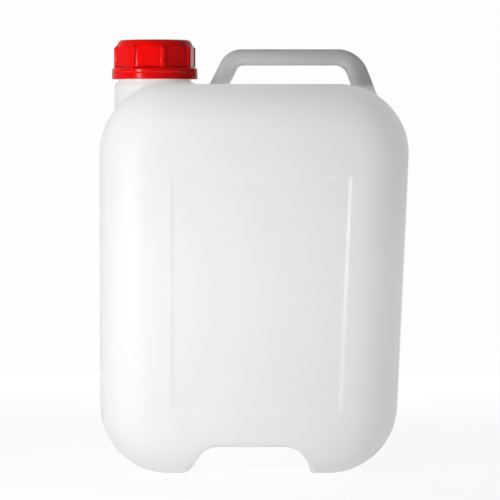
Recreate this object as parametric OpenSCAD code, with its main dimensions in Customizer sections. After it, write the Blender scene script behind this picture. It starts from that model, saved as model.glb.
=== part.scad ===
// Ten litre jerrycan: hollow moulded body with a grip, screw cap, tamper ring and sealing disc.
// Millimetres. Origin in the middle of the base, front face towards -Y, neck towards -X.

/* [Body] */
// width across the small sides at the shoulder
body_w = 222; // [200:1:250]
// depth from front face to back face
body_d = 192; // [170:1:220]
// height from the feet to the flat of the top
body_h = 280; // [250:1:320]
// thickness of the moulded wall
wall = 1.6; // [1.2:0.1:2.4]
// radius of the four corners seen from the front
corner_r = 50; // [42:1:56]
// radius of the edges round the front and back faces
edge_r = 35; // [28:1:40]
// how far the grip end of the body stands in at its base corner
side_lean = 7.9; // [0:0.1:14]

/* [Label panels] */
// distance of a panel from the neck side
panel_neck_margin = 51.5; // [46:0.5:60]
// distance of a panel from the grip side
panel_grip_margin = 40.5; // [36:0.5:50]
// distance of a panel from the top
panel_top_margin = 64; // [56:1:80]
// distance of a panel from the feet
panel_base_margin = 47; // [40:1:60]
// depth of the panel below the face
panel_depth = 1.5; // [0.8:0.1:3]
// width of the sloping step round the panel
panel_step = 2.8; // [1.5:0.1:5]

/* [Base channel] */
// width of the channel between the feet
channel_w = 88; // [70:1:110]
// distance of the channel from the neck side
channel_inset = 63; // [56:0.5:68]
// height of the channel above the feet
channel_h = 22; // [15:0.5:28]
// how far the neck side of the channel slopes in
channel_slope = 13.5; // [6:0.5:18]
// how far the grip side of the channel slopes in
channel_flare = 3; // [1:0.5:8]
// rounding of the channel's roof on the neck side
channel_neck_r = 7; // [4:0.5:10]
// rounding of the channel's roof on the grip side
channel_grip_r = 16; // [10:0.5:18]

/* [Grip] */
// height of the middle of the bar above the top of the body
grip_rise = 20.1; // [17:0.1:26]
// thickness of the bar
grip_t = 11.5; // [10:0.5:14]
// width of the bar from front to back
grip_w = 26; // [20:1:32]
// width of the feet from front to back
grip_foot_w = 31; // [24:1:38]
// thickness of the leg beside the neck
neck_leg_t = 12.7; // [11:0.1:16]
// thickness of the leg at the far end
end_leg_t = 14.7; // [12:0.1:18]
// distance of the leg beside the neck from the neck's axis
neck_leg_run = 47.6; // [46:0.1:60]
// distance of the far leg from the side of the body
end_leg_inset = 31.4; // [28:0.1:45]
// lean of the leg beside the neck
neck_leg_lean = 26.6; // [10:0.1:32]
// lean of the far leg
end_leg_lean = 21.5; // [8:0.1:28]
// bend radius of the bar beside the neck
neck_bend_r = 11; // [9:0.5:16]
// bend radius of the bar at the far end
end_bend_r = 17; // [12:0.5:20]
// depth of the legs' roots below the top
grip_root = 18; // [15:0.5:22]

/* [Hand well] */
// distance of the well's ends from the inner feet of the legs
well_end_gap = 3.2; // [1:0.1:8]
// width of the well from front to back
well_w = 88; // [70:1:100]
// depth of the well below the top
well_depth = 17; // [8:0.5:24]
// radius of the well's corners at the top
well_r = 19; // [14:0.5:24]
// how far the well's sides slope in
well_slope = 9; // [4:0.5:12]
// rounding of the well's floor
well_floor_r = 8; // [4:0.5:10]

/* [Neck] */
// distance of the neck's axis from the side of the body
neck_inset = 37.8; // [34:0.1:42]
// radius of the collar that carries the neck
collar_r = 29.4; // [28.5:0.1:31]
// height of the collar above the top of the body
collar_rise = 0.6; // [0.3:0.1:3]
// depth of the collar's root below the top
collar_root = 34; // [30:1:40]
// radius of the plain neck above the collar
neck_r = 26.6; // [26.4:0.1:27]
// radius of the bead that holds the tamper ring
bead_r = 27.5; // [27.3:0.1:28]
// height of the bead's straight face
bead_t = 0.9; // [0.5:0.1:1.2]
// height of the bead's sloping lead-in
bead_lead = 1.7; // [1:0.1:1.8]
// radius of the neck at the root of its thread
thread_root_r = 23.5; // [23:0.1:24]
// radius of the neck's bore
bore_r = 20.7; // [19:0.1:21.5]
// width of the lip's rounded-off edge
lip_bevel = 0.7; // [0.3:0.1:1]

/* [Tamper ring] */
// height of the ring's foot above the top of the body
ring_rise = 4; // [3.2:0.1:6]
// height of the ring
ring_h = 4.9; // [4.8:0.1:6]
// outer radius of the ring
ring_r = 31.65; // [31:0.05:32]
// thickness of the ring's band
ring_t = 1.9; // [1.4:0.1:2.4]
// height of the inward hook at the ring's foot
hook_h = 2.1; // [1.6:0.1:2.4]
// clearance between the ring and the neck
ring_gap = 0.35; // [0.3:0.05:0.5]
// height of the slit between ring and cap
slit = 0.25; // [0.2:0.05:0.8]

/* [Cap] */
// height of the cap above the slit
cap_h = 23.7; // [21:0.1:28]
// thickness of the cap's top
cap_top_t = 2.2; // [1.6:0.1:3]
// radius of the bore inside the cap
cap_bore_r = 26; // [25.8:0.1:26.2]
// radius of the cap's round core
cap_core_r = 28.6; // [28.3:0.1:29.4]
// half the distance across two opposite flats
cap_flat = 28.1; // [27.6:0.1:28.4]
// rounding of the cap's upper edge
crown_r = 3.4; // [2.5:0.1:4]
// lean of the cap's wall above the ribs
crown_lean = 24; // [0:1:26]
// radius of the flange at the cap's foot
flange_r = 31.5; // [31:0.1:32]
// height of the flange's straight edge
flange_edge = 2.4; // [1.2:0.1:3]
// height at which the flange's slope runs out inside the cap's wall
flange_h = 5.5; // [4.5:0.1:6.5]
// outer radius of the grip ribs
rib_r = 30.5; // [29.8:0.1:30.8]
// width of a grip rib
rib_w = 3.4; // [2.4:0.1:5]
// distance from the top of the cap at which the ribs slope back into it
rib_drop = 6.2; // [5:0.1:7]
// turn of the first rib from the front
rib_turn = 14; // [0:1:44]

/* [Sealing disc] */
// thickness of the disc
disc_t = 1.8; // [1:0.1:2.5]
// clearance between the disc and the cap's bore
disc_gap = 0.35; // [0.2:0.05:0.6]
// clearance between the disc and the lip of the neck
lip_gap = 0.1; // [0.05:0.05:0.3]

/* [Hidden] */

overrun = corner_r / 10;
outline_steps = 64;
edge_steps = 8;
round_steps = 96;
rib_count = 8;
bend_steps = 7;
grip_sides = 24;
square_share = 0.62;
half_share = 0.5;
lean_share = 0.88;

neck_x = neck_inset - body_w / 2;
corners = [
    [corner_r - body_w / 2, body_h - corner_r],
    [body_w / 2 - corner_r, body_h - corner_r],
    [body_w / 2 - corner_r - side_lean, corner_r],
    [corner_r - body_w / 2, corner_r]
];

// grip line: neck foot, neck bend, far bend, far foot
bar_z = body_h + grip_rise;
neck_foot_x = neck_x + neck_leg_run;
end_foot_x = body_w / 2 - end_leg_inset;
neck_bend_x = neck_foot_x + grip_rise * tan(neck_leg_lean);
end_bend_x = end_foot_x - grip_rise * tan(end_leg_lean);
neck_bend_run = neck_bend_r * tan((90 - neck_leg_lean) / 2);
end_bend_run = end_bend_r * tan((90 - end_leg_lean) / 2);

// hand well between the legs' inner feet
well_x0 = neck_foot_x + neck_leg_t / 2 / cos(neck_leg_lean) + well_end_gap;
well_x1 = end_foot_x - end_leg_t / 2 / cos(end_leg_lean) - well_end_gap;

channel_x0 = channel_inset - body_w / 2;
channel_x1 = channel_x0 + channel_w;

// heights on the neck's axis
ring_z = body_h + ring_rise;
bead_z = ring_z + hook_h + ring_gap;
cap_z = ring_z + ring_h + slit;
cap_top_z = cap_z + cap_h;
disc_z = cap_top_z - cap_top_t - disc_t;
lip_z = disc_z - lip_gap;

// the cap's wall leans in from just above the ribs and ends in an arc
lean_drop = lean_share * rib_drop;
lean_run = lean_drop - crown_r + crown_r * sin(crown_lean);
crown_x = cap_core_r - lean_run * tan(crown_lean) - crown_r * cos(crown_lean);
slope_end_r = mix(cap_bore_r, cap_flat, half_share);
slope_h = flange_h - flange_edge;

function mix(a, b, share) = a + (b - a) * share;
function even_pow(v, p) = sign(v) * pow(abs(v), p);

// quarter arc in steps: centre, radius, first and last angle
function arc(c, r, a0, a1, n) = [
    for (i = [0 : n]) let (a = mix(a0, a1, i / n)) c + r * [cos(a), sin(a)]
];

// section of a corner from its axis outwards
module edge_profile(r, e, d) {
    polygon(concat(
        [[0, -d / 2]],
        arc([r - e, e - d / 2], e, -90, 0, edge_steps),
        arc([r - e, d / 2 - e], e, 0, 90, edge_steps),
        [[0, d / 2]]
    ));
}

// closed outer form of the can, drawn in by the given amount
module can_form(inset) {
    hull()
        for (c = corners)
            translate([c.x, 0, c.y])
                rotate([90, 0, 0])
                    rotate_extrude($fn = outline_steps)
                        edge_profile(corner_r - inset, edge_r - inset, body_d - 2 * inset);
}

// sloping-sided block that presses a panel into the front face
module panel_block(grow) {
    lean = side_lean / (body_h - 2 * corner_r);
    z0 = panel_base_margin - grow;
    z1 = body_h - panel_top_margin + grow;
    x0 = panel_neck_margin - body_w / 2 - grow;
    end_x = body_w / 2 - panel_grip_margin + grow;
    x1_top = end_x - lean * (body_h - corner_r - z1);
    x1_base = end_x - lean * (body_h - corner_r - z0);
    depth = panel_depth + grow;
    out = panel_step * overrun / panel_depth;
    back = panel_step * depth / panel_depth;
    y_out = -body_d / 2 - overrun;
    y_in = depth - body_d / 2;
    polyhedron(
        points = [
            [x0 - out, y_out, z0 - out],
            [x1_base + out, y_out, z0 - out],
            [x1_top + out, y_out, z1 + out],
            [x0 - out, y_out, z1 + out],
            [x0 + back, y_in, z0 + back],
            [x1_base - back, y_in, z0 + back],
            [x1_top - back, y_in, z1 - back],
            [x0 + back, y_in, z1 - back]
        ],
        faces = [
            [3, 2, 1, 0],
            [4, 5, 6, 7],
            [0, 1, 5, 4],
            [1, 2, 6, 5],
            [2, 3, 7, 6],
            [3, 0, 4, 7]
        ]
    );
}

// outline of the channel between the feet
module channel_outline() {
    hull() {
        translate([channel_x0 + channel_slope + channel_neck_r, channel_h - channel_neck_r])
            circle(channel_neck_r, $fn = round_steps / 2);
        translate([channel_x1 - channel_flare - channel_grip_r, channel_h - channel_grip_r])
            circle(channel_grip_r, $fn = round_steps / 2);
        translate([channel_x0, -overrun])
            square([channel_w, overrun]);
    }
}

module channel_block(grow) {
    translate([0, body_d / 2 + overrun, 0])
        rotate([90, 0, 0])
            linear_extrude(body_d + 2 * overrun)
                offset(r = grow, $fn = round_steps / 2)
                    channel_outline();
}

// hollow pressed into the top below the bar
module well_block(grow) {
    hull()
        for (x = [well_x0 + well_r, well_x1 - well_r], y = [well_r - well_w / 2, well_w / 2 - well_r]) {
            translate([x, y, body_h])
                cylinder(r = well_r + grow, h = overrun, $fn = round_steps / 2);
            translate([
                x + sign((well_x0 + well_x1) / 2 - x) * (well_slope + well_floor_r - well_r),
                y - sign(y) * (well_slope + well_floor_r - well_r),
                body_h - well_depth + well_floor_r
            ])
                sphere(well_floor_r + grow, $fn = round_steps / 3);
        }
}

// stations of the grip: place, angle of its outer side, half thickness, half width
function grip_line(root) = concat(
    [[
        neck_foot_x - root * tan(neck_leg_lean), body_h - root,
        180 - neck_leg_lean, neck_leg_t / 2, grip_foot_w / 2
    ]],
    [for (i = [0 : bend_steps])
        let (
            a = mix(180 - neck_leg_lean, 90, i / bend_steps),
            t = mix(neck_leg_t, grip_t, i / bend_steps),
            w = mix(mix(grip_foot_w, grip_w, half_share), grip_w, i / bend_steps)
        )
        [
            neck_bend_x + neck_bend_run + neck_bend_r * cos(a),
            bar_z - neck_bend_r + neck_bend_r * sin(a),
            a, t / 2, w / 2
        ]],
    [for (i = [0 : bend_steps])
        let (
            a = mix(90, end_leg_lean, i / bend_steps),
            t = mix(grip_t, end_leg_t, i / bend_steps),
            w = mix(grip_w, mix(grip_foot_w, grip_w, half_share), i / bend_steps)
        )
        [
            end_bend_x - end_bend_run + end_bend_r * cos(a),
            bar_z - end_bend_r + end_bend_r * sin(a),
            a, t / 2, w / 2
        ]],
    [[
        end_foot_x + root * tan(end_leg_lean), body_h - root,
        end_leg_lean, end_leg_t / 2, grip_foot_w / 2
    ]]
);

// tube along the grip's line, drawn in by the given amount
module grip_tube(inset, root) {
    line = grip_line(root);
    rows = len(line);
    points = [
        for (s = line, k = [0 : grip_sides - 1])
            let (
                a = 360 * k / grip_sides,
                n = (s[3] - inset) * even_pow(cos(a), square_share),
                y = (s[4] - inset) * even_pow(sin(a), square_share)
            )
            [s[0] + n * cos(s[2]), y, s[1] + n * sin(s[2])]
    ];
    skin = [
        for (i = [0 : rows - 2], k = [0 : grip_sides - 1])
            let (
                j = (k + 1) % grip_sides,
                p = i * grip_sides + k,
                q = i * grip_sides + j
            )
            for (f = [
                [p, q, q + grip_sides],
                [p, q + grip_sides, p + grip_sides]
            ]) f
    ];
    first = [for (k = [grip_sides - 1 : -1 : 0]) k];
    last = [for (k = [0 : grip_sides - 1]) (rows - 1) * grip_sides + k];
    polyhedron(points = points, faces = concat(skin, [first], [last]));
}

// collar, plain neck, bead and threaded part in one turned form
module neck_form() {
    translate([neck_x, 0, 0])
        rotate_extrude($fn = round_steps)
            polygon([
                [0, body_h - collar_root],
                [collar_r, body_h - collar_root],
                [collar_r, body_h + collar_rise],
                [neck_r, body_h + collar_rise],
                [neck_r, bead_z],
                [bead_r, bead_z],
                [bead_r, bead_z + bead_t],
                [thread_root_r, bead_z + bead_t + bead_lead],
                [thread_root_r, lip_z - lip_bevel],
                [thread_root_r - lip_bevel, lip_z],
                [0, lip_z]
            ]);
}

// hollow of the neck: wide inside the collar, then the bore
module neck_hollow() {
    translate([neck_x, 0, 0])
        rotate_extrude($fn = round_steps)
            polygon([
                [0, body_h - collar_root - overrun],
                [collar_r - wall, body_h - collar_root - overrun],
                [collar_r - wall, body_h - wall],
                [bore_r, body_h + ring_rise],
                [bore_r, lip_z + overrun],
                [0, lip_z + overrun]
            ]);
}

module both_faces() {
    children();
    mirror([0, 1, 0])
        children();
}

// inside of the can: the form drawn in by the wall, kept clear of every pressed-in shape
module can_hollow() {
    difference() {
        can_form(wall);
        both_faces()
            panel_block(wall);
        channel_block(wall);
        well_block(wall);
    }
    grip_tube(wall, grip_root + overrun);
    neck_hollow();
}

module can_body() {
    color([0.93, 0.93, 0.91])
        difference() {
            union() {
                difference() {
                    can_form(0);
                    both_faces()
                        panel_block(0);
                    channel_block(0);
                    well_block(0);
                }
                grip_tube(0, grip_root);
                neck_form();
            }
            can_hollow();
        }
}

module tamper_ring() {
    color([0.80, 0.05, 0.05])
        translate([neck_x, 0, ring_z])
            rotate_extrude($fn = round_steps)
                polygon([
                    [neck_r + ring_gap, 0],
                    [ring_r, 0],
                    [ring_r, ring_h],
                    [ring_r - ring_t, ring_h],
                    [ring_r - ring_t, hook_h],
                    [neck_r + ring_gap, hook_h]
                ]);
}

module sealing_disc() {
    color([0.95, 0.95, 0.95])
        translate([neck_x, 0, disc_z])
            cylinder(r = cap_bore_r - disc_gap, h = disc_t, $fn = round_steps);
}

// round core with its rounded upper edge, cut by eight flats
module cap_core() {
    intersection() {
        rotate_extrude($fn = round_steps)
            polygon(concat(
                [[0, 0], [cap_core_r, 0]],
                [[cap_core_r, cap_h - lean_drop]],
                arc([crown_x, cap_h - crown_r], crown_r, crown_lean, 90, edge_steps),
                [[0, cap_h]]
            ));
        rotate([0, 0, rib_turn - 90])
            cylinder(r = cap_flat / cos(180 / rib_count), h = cap_h, $fn = rib_count);
    }
}

// outer form of the ribs: upright, then sloping back into the crown
module rib_form() {
    slope_top = cap_h - rib_drop + rib_r - slope_end_r;
    rotate_extrude($fn = round_steps)
        polygon([
            [0, 0],
            [rib_r, 0],
            [rib_r, cap_h - rib_drop],
            [slope_end_r, slope_top],
            [0, slope_top]
        ]);
}

module screw_cap() {
    color([0.86, 0.04, 0.04])
        translate([neck_x, 0, cap_z])
            difference() {
                union() {
                    cap_core();
                    cylinder(r = flange_r, h = flange_edge, $fn = round_steps);
                    translate([0, 0, flange_edge])
                        cylinder(r1 = flange_r, r2 = slope_end_r, h = slope_h, $fn = round_steps);
                    for (i = [0 : rib_count - 1])
                        rotate([0, 0, rib_turn - 90 + i * 360 / rib_count])
                            intersection() {
                                translate([0, -rib_w / 2, 0])
                                    cube([rib_r, rib_w, cap_h]);
                                rib_form();
                            }
                }
                translate([0, 0, -overrun])
                    cylinder(r = cap_bore_r, h = cap_h - cap_top_t + overrun, $fn = round_steps);
            }
}

can_body();
tamper_ring();
sealing_disc();
screw_cap();
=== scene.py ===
import math
import bpy
import bmesh
import numpy as np
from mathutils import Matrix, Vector


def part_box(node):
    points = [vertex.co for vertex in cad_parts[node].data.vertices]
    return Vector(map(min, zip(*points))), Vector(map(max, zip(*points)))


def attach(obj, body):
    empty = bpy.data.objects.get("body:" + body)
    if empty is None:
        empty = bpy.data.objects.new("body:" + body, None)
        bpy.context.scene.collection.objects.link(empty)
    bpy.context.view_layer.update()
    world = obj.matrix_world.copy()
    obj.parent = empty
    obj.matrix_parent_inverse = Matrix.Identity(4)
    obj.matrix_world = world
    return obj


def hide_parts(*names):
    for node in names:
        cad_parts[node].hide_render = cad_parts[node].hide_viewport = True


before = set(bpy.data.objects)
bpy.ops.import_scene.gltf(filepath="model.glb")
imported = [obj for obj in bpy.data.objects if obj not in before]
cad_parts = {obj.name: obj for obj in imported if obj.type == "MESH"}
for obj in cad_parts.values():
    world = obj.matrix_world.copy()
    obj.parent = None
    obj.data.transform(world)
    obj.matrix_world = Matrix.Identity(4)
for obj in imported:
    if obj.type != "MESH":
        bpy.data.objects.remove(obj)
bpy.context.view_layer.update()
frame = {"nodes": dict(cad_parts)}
mm = 0.001                                          # sizes below are in millimetres
print("frame loaded:", ", ".join(frame["nodes"]))


def boxInMm(node):
    low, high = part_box(node)
    return np.array(low) / mm, np.array(high) / mm


canLow, canHigh = boxInMm("can_body")
ringLow, ringHigh = boxInMm("tamper_ring")
discLow, discHigh = boxInMm("sealing_disc")
capLow, capHigh = boxInMm("screw_cap")
neckX = (capLow[0] + capHigh[0]) / 2                # the neck stands at Y 0
lipZ = canHigh[2]


# soft shaping with distance fields: negative inside, positive outside

def mix(a, b, share):
    return a + (b - a) * share


def easeStep(low, high, value):
    t = np.clip((value - low) / (high - low), 0, 1)
    return t * t * (3 - 2 * t)


def evenRamp(length, ends, value):                  # an even slope from 0 to 1 that is eased at both ends
    t = np.clip(value / length, 0, 1)
    fromEnd = np.minimum(t, 1 - t)
    eased = np.where(fromEnd < ends, fromEnd ** 2 / (2 * ends), fromEnd - ends / 2) / (1 - ends)
    return np.where(t < 0.5, eased, 1 - eased)


def roundJoin(a, b, r):                             # both shapes, with a fillet of radius r between them
    bend = np.hypot(np.maximum(r - a, 0), np.maximum(r - b, 0))
    return np.maximum(np.minimum(a, b), r) - bend


def roundMeet(a, b, r):                             # what both shapes share, with its edge rounded
    bend = np.hypot(np.maximum(r + a, 0), np.maximum(r + b, 0))
    return np.minimum(np.maximum(a, b), -r) + bend


def polygonField(u, v, points):                     # corners run anticlockwise
    nearest = np.full(u.shape, 1e9)
    inside = np.ones(u.shape, bool)
    for (au, av), (bu, bv) in zip(points, points[1:] + points[:1]):
        eu, ev = bu - au, bv - av
        t = np.clip(((u - au) * eu + (v - av) * ev) / (eu * eu + ev * ev), 0, 1)
        nearest = np.minimum(nearest, np.hypot(u - au - eu * t, v - av - ev * t))
        inside &= eu * (v - av) - ev * (u - au) >= 0
    return np.where(inside, -nearest, nearest)


def roundedRectangle(u, v, halfU, halfV, r):
    du = np.abs(u) - halfU + r
    dv = np.abs(v) - halfV + r
    return np.hypot(np.maximum(du, 0), np.maximum(dv, 0)) + np.minimum(np.maximum(du, dv), 0) - r


# the blown body: rounded slab, label panels, channel, hand well, collar and grip

canShape = {
    "top": 280.0, "cornerR": 50.0, "edgeR": 35.0, "sideLean": 7.9, "wall": 1.6,
    "seamHeight": 0.22, "seamWidth": 0.7, "seamFrom": 1.0, "seamFull": 9.0,
    "skinStep": 2.3, "fineStep": 0.9, "insideStep": 5.5, "room": 5.0, "insideRoom": 7.0,
    "stepZone": 3.0, "leanZone": 7.0, "leanShift": 4.0, "seamZone": 1.6,    # where the grid is finer
}
panelShape = {
    "neckMargin": 51.5, "gripMargin": 40.5, "topMargin": 64.0, "baseMargin": 47.0,
    "depth": 1.2, "step": 3.0, "stepEnds": 0.2, "cornerR": 3.0, "faceDeep": 5.0,
}
channelShape = {
    "left": -48.0, "right": 40.0, "height": 22.0, "slope": 13.5, "flare": 3.0,
    "neckR": 7.0, "gripR": 16.0, "edgeR": 3.0,
}
wellShape = {
    "endGap": 3.2, "width": 88.0, "depth": 17.0, "cornerR": 19.0, "slope": 9.0,
    "floorR": 8.0, "edgeR": 5.0,
}
gripShape = {
    "rise": 20.1, "thick": 11.5, "wide": 26.0, "footWide": 31.0,
    "neckLegThick": 12.7, "endLegThick": 14.7, "neckLegRun": 47.6, "endLegInset": 31.4,
    "neckLegLean": 26.6, "endLegLean": 21.5, "neckBendR": 11.0, "endBendR": 17.0,
    "root": 18.0, "sectionR": 5.2, "rootFillet": 1.4, "headroom": 12.0,
    "shadeFrom": -0.5, "shadeFull": 0.1,            # painted shade on the grip's outer half: shares of the thickness, outwards from the middle
    # where the grip's painted shade fades out, by the grip's surface and by height above the top
    "fadeOff": -2.5, "fadeOn": -0.3, "footOff": -3.0, "footOn": 1.0,
}
neckShape = {
    "collarR": 29.4, "collarTop": 280.6, "collarEdgeR": 1.2, "collarFillet": 2.5,
    "plainR": 26.6, "cutZ": 282.4, "hollowR": 23.0,
    "beadR": 27.5, "beadZ": 286.45, "beadTall": 0.9, "beadLead": 1.7,
    "rootR": 23.5, "crestR": 25.6, "boreR": 20.7, "lipBevel": 0.7,
    "pitch": 6.0, "threadLow": 290.6, "threadHigh": 306.8, "segments": 128,
    "softR": 0.4, "bevel": 0.3, "ringStep": 0.45, "threadRoom": 0.5, "lipDrop": 8.0, "boreFoot": 4.4,
    "cutRoom": 2.0, "rimGap": 1.0, "insideGap": 0.6, "headroom": 20.0,
}

halfWide = (canHigh[0] - canLow[0]) / 2
halfDeep = (canHigh[1] - canLow[1]) / 2
topZ = canShape["top"]
leanRate = canShape["sideLean"] / (topZ - 2 * canShape["cornerR"])


def slabField(x, y, z, inset, panelDepth):
    r = canShape["cornerR"]
    lean = canShape["sideLean"]
    centres = [(r - halfWide, r), (halfWide - r - lean, r)]
    centres += [(halfWide - r, topZ - r), (r - halfWide, topZ - r)]
    e = canShape["edgeR"]
    q = polygonField(x, z, centres) - r + e
    h = np.abs(y) + panelDepth * panelMask(x, z) - halfDeep + e
    return np.hypot(np.maximum(q, 0), np.maximum(h, 0)) + np.minimum(np.maximum(q, h), 0) - e + inset


def panelMask(x, z):
    p = panelShape
    endX = halfWide - p["gripMargin"] - leanRate * (topZ - canShape["cornerR"] - z)
    sides = roundMeet(p["neckMargin"] - halfWide - x, x - endX, p["cornerR"])
    ends = roundMeet(p["baseMargin"] - z, z - topZ + p["topMargin"], p["cornerR"])
    return evenRamp(p["step"], p["stepEnds"], -roundMeet(sides, ends, p["cornerR"]))


def channelField(x, z):
    c = channelShape
    neckLen = math.hypot(c["slope"], c["height"])
    neckSide = ((c["left"] - x) * c["height"] + c["slope"] * z) / neckLen
    gripLen = math.hypot(c["flare"], c["height"])
    gripSide = ((x - c["right"]) * c["height"] + c["flare"] * z) / gripLen
    roof = z - c["height"]
    return roundMeet(roundMeet(neckSide, roof, c["neckR"]), gripSide, c["gripR"])


def legFoot(side):                                  # middle of a leg at the level of the top
    if side == "neck":
        return neckX + gripShape["neckLegRun"]
    return halfWide - gripShape["endLegInset"]


def wellField(x, y, z):
    w, g = wellShape, gripShape
    low = legFoot("neck") + g["neckLegThick"] / 2 / math.cos(math.radians(g["neckLegLean"])) + w["endGap"]
    high = legFoot("end") - g["endLegThick"] / 2 / math.cos(math.radians(g["endLegLean"])) - w["endGap"]
    sides = roundedRectangle(x - (low + high) / 2, y, (high - low) / 2, w["width"] / 2, w["cornerR"])
    steep = math.hypot(w["slope"], w["depth"]) / w["depth"]
    walls = (sides + w["slope"] * (topZ - z) / w["depth"]) / steep
    return roundMeet(walls, topZ - w["depth"] - z, w["floorR"])


def gripSpine(x, z):                                # distance outwards from the grip's middle line
    g = gripShape
    barZ = topZ + g["rise"]
    lean = [math.radians(g["neckLegLean"]), math.radians(g["endLegLean"])]
    bendX = [legFoot("neck") + g["rise"] * math.tan(lean[0]), legFoot("end") - g["rise"] * math.tan(lean[1])]
    run = [r * math.tan((math.pi / 2 - a) / 2) for r, a in zip((g["neckBendR"], g["endBendR"]), lean)]
    middleX = [bendX[0] + run[0], bendX[1] - run[1]]            # where the straight bar begins and ends
    away = np.maximum(np.maximum(middleX[0] - x, x - middleX[1]), 0)
    best = np.hypot(away, z - barZ) * np.where(z < barZ, -1, 1)
    thick = np.full(x.shape, g["thick"])
    wide = np.full(x.shape, g["wide"])
    legWide = (g["wide"] + g["footWide"]) / 2
    for k, sign in ((0, -1), (1, 1)):
        bendR = (g["neckBendR"], g["endBendR"])[k]
        legThick = (g["neckLegThick"], g["endLegThick"])[k]
        u, v = (x - middleX[k]) * sign, z - barZ + bendR        # u points outwards from the bend's centre
        turn = np.arctan2(u, v)
        share = np.clip(turn / (math.pi / 2 - lean[k]), 0, 1)
        bend = np.where((u > 0) & (turn < math.pi / 2 - lean[k]), np.hypot(u, v) - bendR, 1e9)
        nearer = np.abs(bend) < np.abs(best)
        best = np.where(nearer, bend, best)
        thick = np.where(nearer, mix(g["thick"], legThick, share), thick)
        wide = np.where(nearer, mix(g["wide"], legWide, share), wide)
        startU, startV = bendR * math.cos(lean[k]), bendR * math.sin(lean[k])
        length = (startV - bendR + g["rise"] + g["root"]) / math.cos(lean[k])
        along = np.clip((u - startU) * math.sin(lean[k]) + (startV - v) * math.cos(lean[k]), 0, length)
        leg = np.hypot(u - startU - along * math.sin(lean[k]), v - startV + along * math.cos(lean[k]))
        leg *= np.where((u - startU) * math.cos(lean[k]) + (v - startV) * math.sin(lean[k]) < 0, -1, 1)
        nearer = np.abs(leg) < np.abs(best)
        best = np.where(nearer, leg, best)
        thick = np.where(nearer, legThick, thick)
        wide = np.where(nearer, mix(legWide, g["footWide"], along / length), wide)
    return best, thick, wide


def gripField(x, y, z):
    across, thick, wide = gripSpine(x, z)
    return roundedRectangle(across, y, thick / 2, wide / 2, gripShape["sectionR"])


def canField(x, y, z):
    n = neckShape
    body = slabField(x, y, z, 0, panelShape["depth"])
    body = roundMeet(body, -channelField(x, z), channelShape["edgeR"])
    body = roundMeet(body, -wellField(x, y, z), wellShape["edgeR"])
    body = roundJoin(body, gripField(x, y, z), gripShape["rootFillet"])
    fromAxis = np.hypot(x - neckX, y)
    collar = roundMeet(fromAxis - n["collarR"], z - n["collarTop"], n["collarEdgeR"])
    collar = np.maximum(collar, topZ - canShape["cornerR"] - z)
    body = roundJoin(body, collar, n["collarFillet"])
    neck = np.maximum(fromAxis - n["plainR"], topZ - canShape["cornerR"] - z)
    body = roundJoin(body, neck, n["collarEdgeR"])
    c = canShape
    seam = np.exp(-(y / c["seamWidth"]) ** 2) * easeStep(c["seamFrom"], c["seamFull"], z)   # none underneath
    return body - c["seamHeight"] * seam


def hollowField(x, y, z):
    wall = canShape["wall"]
    room = slabField(x, y, z, wall, panelShape["depth"])
    room = np.maximum(room, wall - channelField(x, z))
    room = np.maximum(room, wall - wellField(x, y, z))
    bore = np.maximum(np.hypot(x - neckX, y) - neckShape["hollowR"], topZ - canShape["cornerR"] - z)
    return np.minimum(room, bore)


# a skin of quads over a field, on a grid that may be finer where small shapes lie

skinShape = {"nudge": 0.04, "relax": 0.5, "flattest": 0.2, "farthest": 2.0, "rounds": 5, "insideRounds": 4}


def gridLines(low, high, step, fineZones, fineStep):
    lines = [low]
    while lines[-1] < high:
        fine = any(abs(lines[-1] - middle) < half for middle, half in fineZones)
        lines.append(lines[-1] + (fineStep if fine else step))
    return np.array(lines)


def fieldSkin(field, lines):
    value = field(*np.meshgrid(*lines, indexing="ij"))
    inside = value < 0
    size = [len(line) - 1 for line in lines]
    filled = np.zeros(size, np.int8)
    for i in (0, 1):
        for j in (0, 1):
            for k in (0, 1):
                filled += inside[i:i + size[0], j:j + size[1], k:k + size[2]]
    cells = np.argwhere((filled > 0) & (filled < 8))
    number = np.full(size, -1)
    number[tuple(cells.T)] = np.arange(len(cells))
    points = np.stack([(line[cells[:, a]] + line[cells[:, a] + 1]) / 2 for a, line in enumerate(lines)], 1)
    quads = []
    for a in range(3):
        b, c = (a + 1) % 3, (a + 2) % 3
        lower = np.moveaxis(inside, (a, b, c), (0, 1, 2))[:-1, 1:-1, 1:-1]
        upper = np.moveaxis(inside, (a, b, c), (0, 1, 2))[1:, 1:-1, 1:-1]
        cell = np.moveaxis(number, (a, b, c), (0, 1, 2))
        at = np.argwhere(lower != upper)
        i, j, k = at[:, 0], at[:, 1], at[:, 2]
        ring = np.stack([cell[i, j, k], cell[i, j + 1, k], cell[i, j + 1, k + 1], cell[i, j, k + 1]], 1)
        outward = lower[i, j, k][:, None]
        quads.append(np.where(outward, ring, ring[:, ::-1]))
    return points, np.concatenate(quads)


def fieldSlope(field, points):
    small = skinShape["nudge"]
    slope = np.empty_like(points)
    for a in range(3):
        nudge = np.zeros(3)
        nudge[a] = small
        slope[:, a] = (field(*(points + nudge).T) - field(*(points - nudge).T)) / (2 * small)
    return slope


def settleSkin(field, points, quads, rounds):       # even out the quads and set every point on the surface
    s = skinShape
    after = np.roll(quads, -1, 1)
    here = np.concatenate([quads, after]).ravel()
    there = np.concatenate([after, quads]).ravel()
    links = np.bincount(here, minlength=len(points))[:, None]
    for turn in range(rounds):
        if 0 < turn < rounds - 1:
            total = np.stack([np.bincount(here, points[there, a], len(points)) for a in range(3)], 1)
            points = mix(points, total / links, s["relax"])
        for again in range(2):
            slope = fieldSlope(field, points)
            steep = np.maximum((slope ** 2).sum(1), s["flattest"])
            move = np.clip(field(*points.T) / steep, -s["farthest"], s["farthest"])
            points = points - slope * move[:, None]
    return points


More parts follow.
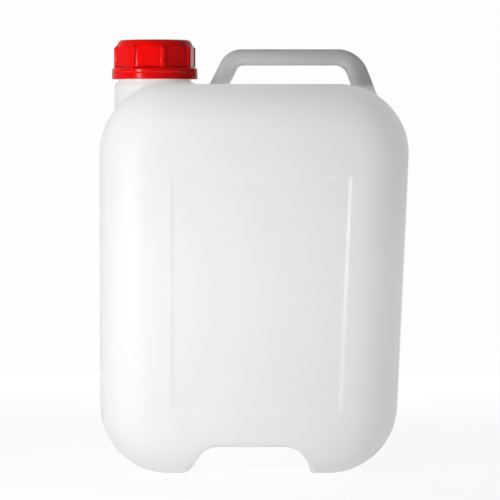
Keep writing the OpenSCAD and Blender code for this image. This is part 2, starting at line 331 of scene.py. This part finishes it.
def openAtNeck(points, quads, r):                   # cut the skin off above the neck and round its rim
    n = neckShape
    fromAxis = np.hypot(points[:, 0] - neckX, points[:, 1])
    above = (points[:, 2] > n["cutZ"]) & (fromAxis < n["collarR"] + n["cutRoom"])
    quads = quads[~above[quads].any(1)]
    sides = np.sort(np.concatenate([quads[:, [k, (k + 1) % 4]] for k in range(4)]), 1)
    pairs, times = np.unique(sides, axis=0, return_counts=True)
    rim = np.unique(pairs[times == 1])
    angle = np.arctan2(points[rim, 1], points[rim, 0] - neckX)
    points[rim] = np.stack([neckX + r * np.cos(angle), r * np.sin(angle), np.full(len(rim), n["cutZ"])], 1)
    kept = np.unique(quads)
    renumber = np.zeros(len(points), int)
    renumber[kept] = np.arange(len(kept))
    return points[kept], renumber[quads]


# turned pieces: rings of points round an axis, each ring a radius and a height for every angle

def evenAngles(count):
    return np.arange(count) * 2 * math.pi / count


def closeAngles(count, middles, half, fine):        # even angles, set closer round each middle
    spread = evenAngles(count)
    gap = np.abs((spread[:, None] - middles + math.pi) % (2 * math.pi) - math.pi).min(1)
    near = (middles[:, None] + np.linspace(-half, half, fine)).ravel() % (2 * math.pi)
    return np.sort(np.concatenate([spread[gap > half * 1.15], near]))


def ringGrid(rings, angles, axisX):                 # a ring of radius 0 closes the end with one point
    points, faces, rows = [], [], []
    for radius, height in rings:
        start = len(points)
        rows.append(start)
        if not callable(radius) and radius == 0:
            points.append((axisX, 0, height))
            continue
        for a in angles:
            r = radius(a) if callable(radius) else radius
            h = height(a) if callable(height) else height
            points.append((axisX + r * math.cos(a), r * math.sin(a), h))
    count = len(angles)
    rows.append(len(points))
    for low, high, end in zip(rows, rows[1:], rows[2:]):
        for k in range(count):
            n = (k + 1) % count
            if high - low == 1:
                faces.append((low, high + n, high + k))
            elif end - high == 1:
                faces.append((low + k, low + n, high))
            else:
                faces.append((low + k, low + n, high + n, high + k))
    return points, faces


def arcRings(centreR, centreZ, r, first, last, steps):
    rings = []
    for i in range(steps + 1):
        a = math.radians(mix(first, last, i / steps))
        rings.append((centreR + r * math.cos(a), centreZ + r * math.sin(a)))
    return rings


threadShape = {"crest": 0.13, "flank": 0.2, "fade": 0.4}    # shares of the pitch


def threadRise(angle, z, low, high, pitch, start):  # 0 at the thread's root and 1 on its crest
    t = threadShape
    phase = (z - start - pitch * angle / (2 * math.pi)) % pitch
    fromCrest = abs(phase - pitch / 2)
    flank = 1 - min(max((fromCrest - pitch * t["crest"]) / (pitch * t["flank"]), 0), 1)
    flank = flank * flank * (3 - 2 * flank)
    fade = pitch * t["fade"]
    ends = float(easeStep(low, low + fade, z) * (1 - easeStep(high - fade, high, z)))
    return flank * ends


def neckRings():
    n = neckShape
    soft, bevel = n["softR"], n["bevel"]
    rings = [(n["plainR"], n["cutZ"] + n["rimGap"])]
    rings += [(n["plainR"], n["beadZ"] - bevel), (n["plainR"] + bevel, n["beadZ"])]
    rings += arcRings(n["beadR"] - soft, n["beadZ"] + soft, soft, -90, 0, 3)
    rings += arcRings(n["beadR"] - soft, n["beadZ"] + n["beadTall"] - soft, soft, 0, 40, 2)
    leadTop = n["beadZ"] + n["beadTall"] + n["beadLead"]
    rings += [(n["rootR"] + soft, leadTop - bevel), (n["rootR"], leadTop)]
    z = leadTop + n["threadRoom"]
    while z < lipZ - n["lipBevel"] - bevel:
        rings.append((lambda a, z=z: n["rootR"] + (n["crestR"] - n["rootR"]) * threadRise(
            a, z, n["threadLow"], n["threadHigh"], n["pitch"], n["threadLow"]), z))
        z += n["ringStep"]
    rings += arcRings(n["rootR"] - n["lipBevel"], lipZ - n["lipBevel"], n["lipBevel"], 0, 90, 4)
    rings += arcRings(n["boreR"] + n["lipBevel"], lipZ - n["lipBevel"], n["lipBevel"], 90, 180, 4)
    rings += [(n["boreR"], lipZ - n["lipDrop"]), (n["boreR"], leadTop), (n["boreR"], topZ + n["boreFoot"])]
    rings += [(n["hollowR"], n["cutZ"] + n["insideGap"])]
    return rings


def meshFrom(name, parts):
    mesh = bpy.data.meshes.new(name)
    points, faces, start = [], [], 0
    for partPoints, partFaces in parts:
        points.append(np.asarray(partPoints) * mm)
        faces += [[corner + start for corner in face] for face in partFaces]
        start += len(partPoints)
    mesh.from_pydata(np.concatenate(points).tolist(), [], faces)
    mesh.validate()
    mesh.polygons.foreach_set("use_smooth", [True] * len(mesh.polygons))
    piece = bpy.data.objects.new(name, mesh)
    bpy.context.collection.objects.link(piece)
    return piece


def bridgeOpenRims(piece):                          # join rim to rim, nearest radius first
    shape = bmesh.new()
    shape.from_mesh(piece.data)
    rims = [edge for edge in shape.edges if edge.is_boundary]

    def fromAxis(edge):
        middle = (edge.verts[0].co + edge.verts[1].co) / 2
        return math.hypot(middle.x - neckX * mm, middle.y)

    outerSide = (neckShape["plainR"] + neckShape["hollowR"]) / 2 * mm
    for outer in (True, False):
        bmesh.ops.bridge_loops(shape, edges=[e for e in rims if (fromAxis(e) > outerSide) == outer])
    bmesh.ops.recalc_face_normals(shape, faces=shape.faces)
    for face in shape.faces:
        face.smooth = True
    shape.to_mesh(piece.data)
    shape.free()


def buildCan():
    c, p = canShape, panelShape
    room, halfStep = c["room"], p["step"] / 2
    gripTop = topZ + gripShape["rise"] + gripShape["headroom"]
    xs = gridLines(-halfWide - room, halfWide + room, c["skinStep"], [
        (p["neckMargin"] - halfWide + halfStep, c["stepZone"]),
        (halfWide - p["gripMargin"] - halfStep - c["leanShift"], c["leanZone"])], c["fineStep"])
    ys = gridLines(-halfDeep - room, halfDeep + room, c["skinStep"], [
        (0.0, c["seamZone"])], c["fineStep"] / 2)
    zs = gridLines(-room, gripTop, c["skinStep"], [
        (p["baseMargin"] + halfStep, c["stepZone"]),
        (topZ - p["topMargin"] - halfStep, c["stepZone"])], c["fineStep"])
    points, quads = fieldSkin(canField, (xs, ys, zs))
    points = settleSkin(canField, points, quads, skinShape["rounds"])
    outer = openAtNeck(points, quads, neckShape["plainR"])
    room = c["insideRoom"]
    coarse = [gridLines(-half - room, half + room, c["insideStep"], [], 1) for half in (halfWide, halfDeep)]
    coarse.append(gridLines(-room, topZ + neckShape["headroom"], c["insideStep"], [], 1))
    points, quads = fieldSkin(hollowField, coarse)
    points = settleSkin(hollowField, points, quads, skinShape["insideRounds"])
    points, quads = openAtNeck(points, quads, neckShape["hollowR"])
    neck = ringGrid(neckRings(), evenAngles(neckShape["segments"]), neckX)
    piece = meshFrom("canShell", [outer, neck, (points, quads[:, ::-1])])
    inside = np.zeros(len(piece.data.polygons), int)
    inside[-len(quads):] = 1                        # second finish for the skin of the hollow
    piece.data.polygons.foreach_set("material_index", inside)
    bridgeOpenRims(piece)
    place = np.empty(len(piece.data.vertices) * 3)
    piece.data.vertices.foreach_get("co", place)
    x, y, z = place.reshape(-1, 3).T / mm
    g = gripShape
    # painted shade on the grip: its outer half, the bar's top, renders darker than its underside
    across, thick = gripSpine(x, z)[:2]
    wall = easeStep(g["shadeFrom"], g["shadeFull"], across / thick)     # painted shade: the grip's outer half, on the bar its top, passes less light
    wall *= easeStep(g["fadeOff"], g["fadeOn"], -gripField(x, y, z))
    wall *= easeStep(topZ + g["footOff"], topZ + g["footOn"], z)
    step = panelMask(x, z) * (np.abs(y) > halfDeep - p["faceDeep"])
    for name, value in (("gripPaintedShade", wall), ("rubbedEdge", 4 * step * (1 - step))):
        layer = piece.data.attributes.new(name, "FLOAT", "POINT")
        layer.data.foreach_set("value", value.astype(np.float32))
    return piece


can = buildCan()
print("can shell:", len(can.data.polygons), "faces")


# the cap: eight flats between raised ribs, a sloping flange, and the thread inside

capShape = {
    "flat": 28.1, "coreR": 28.6, "flare": 0.6, "leanDrop": 5.45, "crownLean": 24.0, "crownR": 3.4,
    "flangeR": 31.5, "flangeEdge": 2.4, "flangeTall": 5.5, "flangeInR": 27.05,
    "ribs": 8, "ribR": 30.5, "ribWide": 3.3, "ribFlank": 1.1, "ribDrop": 6.2, "ribTurn": 14.0,
    "boreR": 26.0, "topThick": 2.2, "threadR": 24.1, "threadLow": 2.2, "threadHigh": 15.5,
    "edgeR": 0.25, "soft": 0.35, "flatSoft": 0.1, "flareRun": 3.0, "segments": 120,
    "topDish": 0.35, "dishR": 20.0, "dishEdge": 0.8, "dishSoft": 0.3, "dishRise": 0.07, "rimWide": 2.2,
    "ringStep": 0.32, "plainStep": 1.5, "plainLow": 1.6, "plainHigh": 0.8,      # spacing of the rings
    "flangeRoom": 0.4, "footStep": 0.25, "footRoom": 0.3,
    "boreFoot": 0.5, "boreTop": 0.4, "boreCorner": 0.3, "ribRoom": 2.6, "ribLines": 25,
}
capTall = capHigh[2] - capLow[2]
ribAngles = math.radians(capShape["ribTurn"] - 90) + evenAngles(capShape["ribs"])


def softLess(a, b, r):                              # the lesser of two radii, eased where they cross
    return min(a, b) - max(r - abs(a - b), 0) ** 2 / (4 * r)


def crownRadius(drop):                              # upright wall, leaning wall, then the upper edge's arc
    c = capShape
    lean = math.radians(c["crownLean"])
    leanRun = c["leanDrop"] - c["crownR"] * (1 - math.sin(lean))
    if drop > c["leanDrop"]:
        return c["coreR"] + c["flare"] * float(easeStep(0, c["flareRun"], drop - c["leanDrop"]))
    if drop > c["leanDrop"] - leanRun:
        return c["coreR"] - (c["leanDrop"] - drop) * math.tan(lean)
    middle = c["coreR"] - leanRun * math.tan(lean) - c["crownR"] * math.cos(lean)
    return middle + math.sqrt(max(c["crownR"] ** 2 - (c["crownR"] - drop) ** 2, 0))


def capWall(angle, height):
    c = capShape
    drop = capTall - height
    half = math.pi / c["ribs"]
    fromRib = abs((angle - ribAngles[0] + half) % (2 * half) - half)
    wall = softLess(c["flat"] / math.cos(fromRib - half), crownRadius(drop), c["flatSoft"])
    rib = c["ribR"] - max(c["ribDrop"] - drop, 0)   # a rib's upper end slopes back into the crown
    if rib > wall:
        edge = c["ribWide"] / 2
        side = easeStep(edge - c["ribFlank"] / 2, edge + c["ribFlank"] / 2, fromRib * c["ribR"])
        wall = mix(rib, wall, float(side))
    slope = (c["flangeR"] - c["flangeInR"]) / (c["flangeTall"] - c["flangeEdge"])
    flange = softLess(c["flangeR"], c["flangeR"] - (height - c["flangeEdge"]) * slope, c["soft"] * 2)
    return -softLess(-wall, -flange, c["soft"])


def buildCap():
    c = capShape
    ceiling = capTall - c["topThick"]
    e = c["edgeR"]
    dish = capTall - c["topDish"]
    dishR, edge, soft, rise = c["dishR"], c["dishEdge"], c["dishSoft"], c["dishRise"]
    rings = [(0, dish), (dishR * 0.5, dish), (dishR - edge, dish), (dishR - soft, dish + rise)]
    rings += [(dishR + soft, capTall - rise), (dishR + edge, capTall), (dishR + c["rimWide"], capTall)]
    heights = [capTall - c["crownR"] * (1 - math.cos(math.radians(a))) for a in range(8, 64, 8)]
    plainLow = c["flangeTall"] + c["plainLow"]
    plainHigh = capTall - c["ribDrop"] - c["plainHigh"]
    while heights[-1] > c["flangeTall"] + c["flangeRoom"]:
        plain = plainLow < heights[-1] < plainHigh
        heights.append(heights[-1] - (c["plainStep"] if plain else c["ringStep"]))
    while heights[-1] > e + c["footRoom"]:
        heights.append(heights[-1] - c["footStep"])
    rings += [(lambda a, h=h: capWall(a, h), h) for h in heights]
    rings += arcRings(c["flangeR"] - e, e, e, 0, -90, 4) + arcRings(c["boreR"] + e, e, e, -90, -180, 4)
    start = neckShape["threadLow"] - capLow[2] + neckShape["pitch"] / 2
    for h in np.arange(e + c["boreFoot"], ceiling - c["boreTop"], neckShape["ringStep"]):
        rings.append((lambda a, h=h: c["boreR"] - (c["boreR"] - c["threadR"]) * threadRise(
            a, h, c["threadLow"], c["threadHigh"], neckShape["pitch"], start), h))
    rings += [(c["boreR"], ceiling - c["boreCorner"]), (c["boreR"] - c["boreCorner"], ceiling)]
    rings += [(c["boreR"] * 0.5, ceiling), (0, ceiling)]
    ribReach = (c["ribWide"] / 2 + c["ribRoom"]) / c["ribR"]
    angles = closeAngles(c["segments"], ribAngles, ribReach, c["ribLines"])
    points, faces = ringGrid([(r, h + capLow[2]) for r, h in rings[::-1]], angles, neckX)
    return meshFrom("capShell", [(points, faces)])


cap = buildCap()
print("cap:", len(cap.data.polygons), "faces")


# the tamper ring: a band with a hook under the neck's bead and stubs of its bridges on the upper edge

ringShape = {
    "bandThick": 1.9, "bulge": 0.12, "hookTall": 2.1, "gap": 0.35, "edgeR": 0.2, "lift": 0.13,
    "stubs": 12, "stubWide": 1.1, "stubTall": 0.08, "stubFull": 0.3, "stubGone": 0.7, "stubLines": 7,
    "bulgeSpan": (0.15, 0.85), "bulgeRings": 8, "bevel": 0.3, "sameSpot": 0.01, "segments": 120,
}


def buildRing():
    r = ringShape
    outR = (ringHigh[0] - ringLow[0]) / 2
    tall = ringHigh[2] - ringLow[2] + r["lift"]     # the slit below the cap is only a torn line
    inR = outR - r["bandThick"]
    hookR = neckShape["plainR"] + r["gap"]
    e = r["edgeR"]
    stubs = evenAngles(r["stubs"])

    def upperEdge(height):
        def stubbed(a):
            arc = abs((a + stubs[1] / 2) % stubs[1] - stubs[1] / 2) * outR
            stub = 1 - easeStep(r["stubWide"] * r["stubFull"], r["stubWide"] * r["stubGone"], arc)
            return ringLow[2] + height + r["stubTall"] * float(stub)
        return stubbed

    foot = outR - r["bulge"] - e
    rings = arcRings(foot, e, e, -90, 0, 3)
    for share in np.linspace(*r["bulgeSpan"], r["bulgeRings"]):
        rings.append((outR - r["bulge"] * (2 * share - 1) ** 2, tall * share))
    rings += arcRings(foot, tall - e, e, 0, 90, 3)
    for share, top in ((0.6, tall), (0.5, upperEdge(tall)), (0.3, upperEdge(tall)), (0.2, tall)):
        rings.append((r["bandThick"] * share + inR, top))
    rings += arcRings(inR + e / 2, tall - e / 2, e / 2, 90, 180, 3)
    hook, bevel = r["hookTall"], r["bevel"]
    rings += [(inR, hook + bevel), (inR - bevel, hook), (hookR + bevel, hook)]
    rings += [(hookR, hook - bevel), (hookR, bevel), (hookR + bevel, 0)]
    rings.append(rings[0])
    rings = [(radius, h if callable(h) else h + ringLow[2]) for radius, h in rings]
    angles = closeAngles(r["segments"], stubs, r["stubWide"] / outR, r["stubLines"])
    piece = meshFrom("tamperBand", [ringGrid(rings, angles, neckX)])
    shape = bmesh.new()
    shape.from_mesh(piece.data)
    spot = r["sameSpot"] * mm                       # the last ring lies on the first
    bmesh.ops.remove_doubles(shape, verts=shape.verts, dist=spot)
    shape.to_mesh(piece.data)
    shape.free()
    return piece


ring = buildRing()
print("tamper ring:", len(ring.data.polygons), "faces")


# the sealing disc, pressed in a little where the lip of the neck bears on it

discShape = {"edgeR": 0.4, "press": 0.12, "pressEdge": 0.6, "segments": 96}


def buildDisc():
    d = discShape
    r = (discHigh[0] - discLow[0]) / 2
    tall = discHigh[2] - discLow[2]
    e = d["edgeR"]
    inner, outer = neckShape["boreR"], neckShape["rootR"]
    edge = d["pressEdge"]
    rings = [(0, 0), (inner - edge, 0), (inner, d["press"]), (outer, d["press"]), (outer + edge, 0)]
    rings += arcRings(r - e, e, e, -90, 0, 4) + arcRings(r - e, tall - e, e, 0, 90, 4) + [(0, tall)]
    rings = [(radius, h + discLow[2]) for radius, h in rings]
    return meshFrom("linerDisc", [ringGrid(rings, evenAngles(d["segments"]), neckX)])


disc = buildDisc()
print("sealing disc:", len(disc.data.polygons), "faces")


# finishes

def newFinish(name):
    finish = bpy.data.materials.new(name)
    finish.use_nodes = True
    nodes, links = finish.node_tree.nodes, finish.node_tree.links
    return finish, nodes, links, nodes["Principled BSDF"]


def addNode(nodes, kind, **values):
    node = nodes.new(kind)
    for key, value in values.items():
        setattr(node, key, value)
    return node


# the grip's share of light let through is a painted shade that darkens its outer half
polyethylene = {
    "body": (0.95, 0.95, 0.95), "cloud": 0.012, "gripShadeThrough": 0.4,
    "roughness": 0.44, "rubbed": 0.23, "gloss": 0.5, "through": 0.66, "grain": 900.0, "ripple": 22.0,
    "relief": 0.08, "reliefDeep": 0.0004, "insideRoughness": 0.5, "insideSeen": 0.05,
}


def polyethyleneFinish():
    s = polyethylene
    finish, nodes, links, shader = newFinish("naturalPolyethylene")
    place = addNode(nodes, "ShaderNodeTexCoord")
    cloud = addNode(nodes, "ShaderNodeTexNoise")
    cloud.inputs["Scale"].default_value = s["ripple"]
    cloud.inputs["Detail"].default_value = 3.0
    tint = addNode(nodes, "ShaderNodeMapRange")
    tint.inputs["To Min"].default_value = 1 - s["cloud"]
    tint.inputs["To Max"].default_value = 1 + s["cloud"]
    cloudy = addNode(nodes, "ShaderNodeVectorMath", operation="SCALE")
    cloudy.inputs[0].default_value = s["body"]
    grain = addNode(nodes, "ShaderNodeTexNoise")
    grain.inputs["Scale"].default_value = s["grain"]
    grain.inputs["Detail"].default_value = 2.0
    bump = addNode(nodes, "ShaderNodeBump")
    bump.inputs["Strength"].default_value = s["relief"]
    bump.inputs["Distance"].default_value = s["reliefDeep"]
    links.new(place.outputs["Object"], cloud.inputs["Vector"])
    links.new(place.outputs["Object"], grain.inputs["Vector"])
    links.new(cloud.outputs["Fac"], tint.inputs["Value"])
    links.new(tint.outputs["Result"], cloudy.inputs["Scale"])
    links.new(cloudy.outputs["Vector"], shader.inputs["Base Color"])
    links.new(grain.outputs["Fac"], bump.inputs["Height"])
    links.new(bump.outputs["Normal"], shader.inputs["Normal"])
    edge = addNode(nodes, "ShaderNodeAttribute", attribute_name="rubbedEdge")
    polish = addNode(nodes, "ShaderNodeMapRange")               # the panel's edges are rubbed smoother
    polish.inputs["To Min"].default_value = s["roughness"]
    polish.inputs["To Max"].default_value = s["rubbed"]
    links.new(edge.outputs["Fac"], polish.inputs["Value"])
    links.new(polish.outputs["Result"], shader.inputs["Roughness"])
    shader.inputs["Specular IOR Level"].default_value = s["gloss"]
    lit = addNode(nodes, "ShaderNodeBsdfTranslucent")           # light that comes through the thin wall
    blend = addNode(nodes, "ShaderNodeMixShader")
    blend.inputs["Fac"].default_value = s["through"]
    grip = addNode(nodes, "ShaderNodeAttribute", attribute_name="gripPaintedShade")
    dim = addNode(nodes, "ShaderNodeMapRange")                  # painted shade: less light comes through on the grip's outer half, the bar's top
    dim.inputs["To Min"].default_value = 1.0
    dim.inputs["To Max"].default_value = s["gripShadeThrough"]
    passed = addNode(nodes, "ShaderNodeVectorMath", operation="SCALE")
    links.new(grip.outputs["Fac"], dim.inputs["Value"])
    links.new(cloudy.outputs["Vector"], passed.inputs[0])
    links.new(dim.outputs["Result"], passed.inputs["Scale"])
    links.new(passed.outputs["Vector"], lit.inputs["Color"])
    links.new(shader.outputs["BSDF"], blend.inputs[1])
    links.new(lit.outputs["BSDF"], blend.inputs[2])
    links.new(blend.outputs["Shader"], nodes["Material Output"].inputs["Surface"])
    return finish


redPlastic = {
    "red": (0.5, 0.001, 0.001, 1), "roughness": 0.17, "uneven": 0.04, "gloss": 0.055, "mottle": 180.0,
    "relief": 0.04, "reliefDeep": 0.0003,
}


def redPlasticFinish():
    s = redPlastic
    finish, nodes, links, shader = newFinish("redPlastic")
    place = addNode(nodes, "ShaderNodeTexCoord")
    mottle = addNode(nodes, "ShaderNodeTexNoise")
    mottle.inputs["Scale"].default_value = s["mottle"]
    mottle.inputs["Detail"].default_value = 3.0
    gloss = addNode(nodes, "ShaderNodeMapRange")
    gloss.inputs["To Min"].default_value = s["roughness"] - s["uneven"]
    gloss.inputs["To Max"].default_value = s["roughness"] + s["uneven"]
    bump = addNode(nodes, "ShaderNodeBump")
    bump.inputs["Strength"].default_value = s["relief"]
    bump.inputs["Distance"].default_value = s["reliefDeep"]
    links.new(place.outputs["Object"], mottle.inputs["Vector"])
    links.new(mottle.outputs["Fac"], gloss.inputs["Value"])
    links.new(gloss.outputs["Result"], shader.inputs["Roughness"])
    links.new(mottle.outputs["Fac"], bump.inputs["Height"])
    links.new(bump.outputs["Normal"], shader.inputs["Normal"])
    shader.inputs["Base Color"].default_value = s["red"]
    shader.inputs["Specular IOR Level"].default_value = s["gloss"]
    return finish


def wallInsideFinish():                             # the outer skin scatters, so this one lets light by
    s = polyethylene
    finish, nodes, links, shader = newFinish("wallInside")
    shader.inputs["Roughness"].default_value = s["insideRoughness"]
    shader.inputs["Base Color"].default_value = (*s["body"], 1)
    clear = addNode(nodes, "ShaderNodeBsdfTransparent")
    blend = addNode(nodes, "ShaderNodeMixShader")
    blend.inputs["Fac"].default_value = s["insideSeen"]
    links.new(clear.outputs["BSDF"], blend.inputs[1])
    links.new(shader.outputs["BSDF"], blend.inputs[2])
    links.new(blend.outputs["Shader"], nodes["Material Output"].inputs["Surface"])
    return finish


linerFoam = {
    "white": (0.86, 0.86, 0.84, 1), "cells": 1400.0, "roughness": 0.8, "relief": 0.3, "reliefDeep": 0.0003,
}


def linerFoamFinish():
    s = linerFoam
    finish, nodes, links, shader = newFinish("linerFoam")
    place = addNode(nodes, "ShaderNodeTexCoord")
    cells = addNode(nodes, "ShaderNodeTexVoronoi")
    cells.inputs["Scale"].default_value = s["cells"]
    bump = addNode(nodes, "ShaderNodeBump")
    bump.inputs["Strength"].default_value = s["relief"]
    bump.inputs["Distance"].default_value = s["reliefDeep"]
    links.new(place.outputs["Object"], cells.inputs["Vector"])
    links.new(cells.outputs["Distance"], bump.inputs["Height"])
    links.new(bump.outputs["Normal"], shader.inputs["Normal"])
    shader.inputs["Base Color"].default_value = s["white"]
    shader.inputs["Roughness"].default_value = s["roughness"]
    return finish


red = redPlasticFinish()
for piece, finish, body, node, slot in (
        (can, polyethyleneFinish(), "can", "can_body", "natural_polyethylene"),
        (cap, red, "cap", "screw_cap", "red_plastic"),
        (ring, red, "can", "tamper_ring", "red_plastic"),
        (disc, linerFoamFinish(), "disc", "sealing_disc", "liner_foam")):
    piece.data.materials.append(finish)
    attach(piece, body)
    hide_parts(node)
can.data.materials.append(wallInsideFinish())
print("finishes set")


# studio: pale floor, white surroundings, key from the left, small lamps for the cap and the panel

studio = {
    "floorSize": 30.0, "floorColour": (0.86, 0.86, 0.86, 1), "floorRoughness": 0.9, "floorGrain": 60.0,
    "floorRelief": 0.03, "floorGlow": 0.06, "glowLevel": 1.0,
    "nearReach": 0.25, "farReach": 1.0,             # the floor fades into the white surroundings
    "nearSeen": 0.80, "nearWhite": 1.06, "farWhite": 0.985, "worldLevel": 0.16,
    "mirrored": ("keyLamp", "capLamp", "panelLamp"),    # the lamps that show in the gloss
    "lamps": {                                      # place, aim, size in metres, beam in degrees, watts
        "keyLamp": ((-0.497, -0.552, 0.185), (0.0, 0.0, 0.16), 0.15, 180, 2.45),
        "frontLamp": ((-0.205, -0.508, 0.112), (0.0, 0.0, 0.16), 0.25, 180, 1.12),
        "capLamp": ((-0.338, -0.321, 0.3), (-0.073, 0.0, 0.36), 0.045, 40, 0.074),
        "panelLamp": ((-0.02, -0.67, 0.45), (-0.025, -0.096, 0.145), 0.12, 34, 0.022),
        "rimLamp": ((0.953, 0.55, 0.16), (0.0, 0.0, 0.16), 0.8, 180, 3.2),
        "backLamp": ((0.0, 1.083, 0.351), (0.0, 0.0, 0.16), 0.8, 180, 3.6),
        "topLamp": ((0.0, -0.02, 1.26), (0.0, 0.0, 0.16), 0.8, 180, 0.95),
        "lowLamp": ((0.0, 0.797, 0.09), (0.0, 0.0, 0.16), 0.3, 180, 2.4),
    },
}
cameraShape = {
    "place": (-0.003, -2.216, 0.2614), "target": (-0.003, -0.061, 0.1608), "lens": 216.0, "sensor": 36.0,
}


def lookAt(piece, target):
    piece.rotation_euler = (Vector(target) - piece.location).to_track_quat("-Z", "Y").to_euler()


def softLamp(name, place, aim, size, beam, power):
    light = bpy.data.lights.new(name, "AREA")
    light.shape = "SQUARE"
    light.size = size
    light.spread = math.radians(beam)
    light.energy = power
    piece = bpy.data.objects.new(name, light)
    bpy.context.collection.objects.link(piece)
    piece.location = place
    piece.visible_camera = False
    piece.visible_glossy = name in studio["mirrored"]
    lookAt(piece, aim)


def levelBySight(nodes, links, unseen, seen):       # one level to light with, another to look at
    path = addNode(nodes, "ShaderNodeLightPath")
    clear = addNode(nodes, "ShaderNodeMath", operation="SUBTRACT", use_clamp=True)
    links.new(path.outputs["Is Transmission Ray"], clear.inputs[0])
    links.new(path.outputs["Is Diffuse Ray"], clear.inputs[1])  # light scattered in the wall is no look
    looked = path.outputs["Is Camera Ray"]
    for way in (path.outputs["Is Glossy Ray"], clear.outputs["Value"]):
        either = addNode(nodes, "ShaderNodeMath", operation="MAXIMUM")
        links.new(looked, either.inputs[0])
        links.new(way, either.inputs[1])
        looked = either.outputs["Value"]
    level = addNode(nodes, "ShaderNodeMix", data_type="FLOAT")
    links.new(looked, level.inputs["Factor"])
    for side, value in (("A", unseen), ("B", seen)):
        if isinstance(value, float):
            level.inputs[side].default_value = value
        else:
            links.new(value, level.inputs[side])
    return level.outputs["Result"]


def fadeOut(nodes, links, near, far):               # a level that changes with the distance from the can
    place = addNode(nodes, "ShaderNodeTexCoord")
    away = addNode(nodes, "ShaderNodeVectorMath", operation="LENGTH")
    level = addNode(nodes, "ShaderNodeMapRange", interpolation_type="SMOOTHSTEP")
    level.inputs["From Min"].default_value = studio["nearReach"]
    level.inputs["From Max"].default_value = studio["farReach"]
    level.inputs["To Min"].default_value = near
    level.inputs["To Max"].default_value = far
    links.new(place.outputs["Object"], away.inputs[0])
    links.new(away.outputs["Value"], level.inputs["Value"])
    return level.outputs["Result"]


def buildFloor():
    half = studio["floorSize"] / 2
    mesh = bpy.data.meshes.new("floor")
    corners = [(-half, -half, 0), (half, -half, 0), (half, half, 0), (-half, half, 0)]
    mesh.from_pydata(corners, [], [(0, 1, 2, 3)])
    floor = bpy.data.objects.new("floor", mesh)
    bpy.context.collection.objects.link(floor)
    finish, nodes, links, shader = newFinish("paleFloor")
    shader.inputs["Base Color"].default_value = studio["floorColour"]
    shader.inputs["Roughness"].default_value = studio["floorRoughness"]
    shader.inputs["Specular IOR Level"].default_value = 0.0
    grain = addNode(nodes, "ShaderNodeTexNoise")
    grain.inputs["Scale"].default_value = studio["floorGrain"]
    bump = addNode(nodes, "ShaderNodeBump")
    bump.inputs["Strength"].default_value = studio["floorRelief"]
    links.new(grain.outputs["Fac"], bump.inputs["Height"])
    links.new(bump.outputs["Normal"], shader.inputs["Normal"])
    glow = addNode(nodes, "ShaderNodeEmission")
    white = fadeOut(nodes, links, studio["nearWhite"], studio["farWhite"])
    links.new(levelBySight(nodes, links, studio["glowLevel"], white), glow.inputs["Strength"])
    blend = addNode(nodes, "ShaderNodeMixShader")
    seen = fadeOut(nodes, links, studio["nearSeen"], 1.0)
    links.new(levelBySight(nodes, links, studio["floorGlow"], seen), blend.inputs["Fac"])
    links.new(shader.outputs["BSDF"], blend.inputs[1])
    links.new(glow.outputs["Emission"], blend.inputs[2])
    links.new(blend.outputs["Shader"], nodes["Material Output"].inputs["Surface"])
    mesh.materials.append(finish)


def buildWorld():
    world = bpy.data.worlds.new("studio")
    bpy.context.scene.world = world
    world.use_nodes = True
    nodes, links = world.node_tree.nodes, world.node_tree.links
    level = levelBySight(nodes, links, studio["worldLevel"], studio["farWhite"])
    links.new(level, nodes["Background"].inputs["Strength"])
    nodes["Background"].inputs["Color"].default_value = (1, 1, 1, 1)


buildFloor()
buildWorld()
for name, lamp in studio["lamps"].items():
    softLamp(name, *lamp)
camera = bpy.data.objects.new("camera", bpy.data.cameras.new("camera"))
bpy.context.collection.objects.link(camera)
camera.data.lens = cameraShape["lens"]
camera.data.sensor_width = cameraShape["sensor"]
camera.data.clip_end = 100.0
camera.location = cameraShape["place"]
lookAt(camera, cameraShape["target"])
bpy.context.scene.camera = camera
bpy.context.scene.view_settings.view_transform = "Standard"
print("studio ready")
